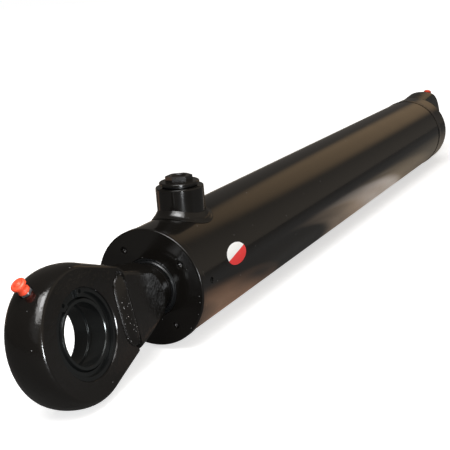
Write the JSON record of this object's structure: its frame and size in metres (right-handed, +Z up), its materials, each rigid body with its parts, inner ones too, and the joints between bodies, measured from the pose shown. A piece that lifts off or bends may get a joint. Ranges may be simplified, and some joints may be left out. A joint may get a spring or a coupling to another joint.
{
  "type": "hydraulic cylinder",
  "caption": "Double-acting welded hydraulic cylinder, retracted: long black barrel, screwed gland, plugged port bosses, chromed rod, forged eyes with spherical bearings, red nipple caps",
  "frame": {"origin": "on the ground plane under the middle of the object's box, as it lies on the rims of its two eyes", "axes": "+X runs along the bore from the rod eye to the base eye, +Y points to the side that the rear port faces, +Z points up through the front port"},
  "size_m": [1.37, 0.1736, 0.1774],
  "materials": {
    "black_paint": "glossy black paint over machined steel",
    "painted_weld": "rippled weld bead under the same black paint",
    "hard_chrome": "ground and polished hard chrome",
    "machined_steel": "turned, lightly oiled",
    "bearing_steel": "hardened, ground and darkened",
    "spring_steel": "phosphated, dark grey",
    "zinc_plate": "zinc plated",
    "black_plug": "black finish, satin",
    "nitrile_rubber": "matt black rubber",
    "polyurethane": "smooth dark blue elastomer",
    "filled_nylon": "matt green-grey glass-filled nylon",
    "red_plastic": "soft bright red plastic"
  },
  "bodies": {
    "barrel": {"barrel_tube": "black_paint", "base_bearing_outer_ring": "bearing_steel", "base_cap": "black_paint", "base_cap_weld": "painted_weld", "base_circlip_far": "spring_steel", "base_circlip_near": "spring_steel", "base_eye": "black_paint", "base_eye_weld_far": "painted_weld", "base_eye_weld_near": "painted_weld", "base_grease_nipple": "zinc_plate", "base_nipple_cap": "red_plastic", "front_port_boss": "black_paint", "front_port_plug": "black_plug", "front_port_washer": "nitrile_rubber", "front_port_weld": "painted_weld", "gland": "black_paint", "gland_guide_band": "filled_nylon", "gland_lock_screw": "spring_steel", "gland_o_ring": "nitrile_rubber", "rear_port_boss": "black_paint", "rear_port_plug": "black_plug", "rear_port_washer": "nitrile_rubber", "rear_port_weld": "painted_weld", "rod_seal": "polyurethane", "rod_wiper": "polyurethane"},
    "piston_seals": {"piston_guide_band_front": "filled_nylon", "piston_guide_band_rear": "filled_nylon", "piston_seal": "polyurethane"},
    "rod": {"piston": "machined_steel", "piston_nut": "machined_steel", "piston_rod": "hard_chrome", "rod_neck": "black_paint", "rod_eye": "black_paint", "rod_eye_weld_near": "painted_weld", "rod_eye_weld_far": "painted_weld", "rod_bearing_outer_ring": "bearing_steel", "rod_circlip_near": "spring_steel", "rod_circlip_far": "spring_steel", "rod_grease_nipple": "zinc_plate", "rod_nipple_cap": "red_plastic"},
    "rod_bearing": {"rod_bearing_inner_ring": "bearing_steel"},
    "base_bearing": {"base_bearing_inner_ring": "bearing_steel"}
  },
  "joints": [
    {"name": "rod_slide", "type": "slide", "parent": "barrel", "child": "piston_seals", "axis": [-1, 0, 0], "range_m": [0, 0.78]},
    {"name": "rod_turn", "type": "hinge", "parent": "piston_seals", "child": "rod", "pos_m": [-0.47, -0.02055, 0.07014], "axis": [1, 0, 0], "continuous": true},
    {"name": "rod_bearing_turn", "type": "hinge", "parent": "rod", "child": "rod_bearing", "pos_m": [-0.615, -0.02055, 0.07014], "axis": [0, 0.981, -0.1942], "continuous": true},
    {"name": "base_bearing_turn", "type": "hinge", "parent": "barrel", "child": "base_bearing", "pos_m": [0.615, -0.02055, 0.07014], "axis": [0, 1, 0], "continuous": true}
  ]
}
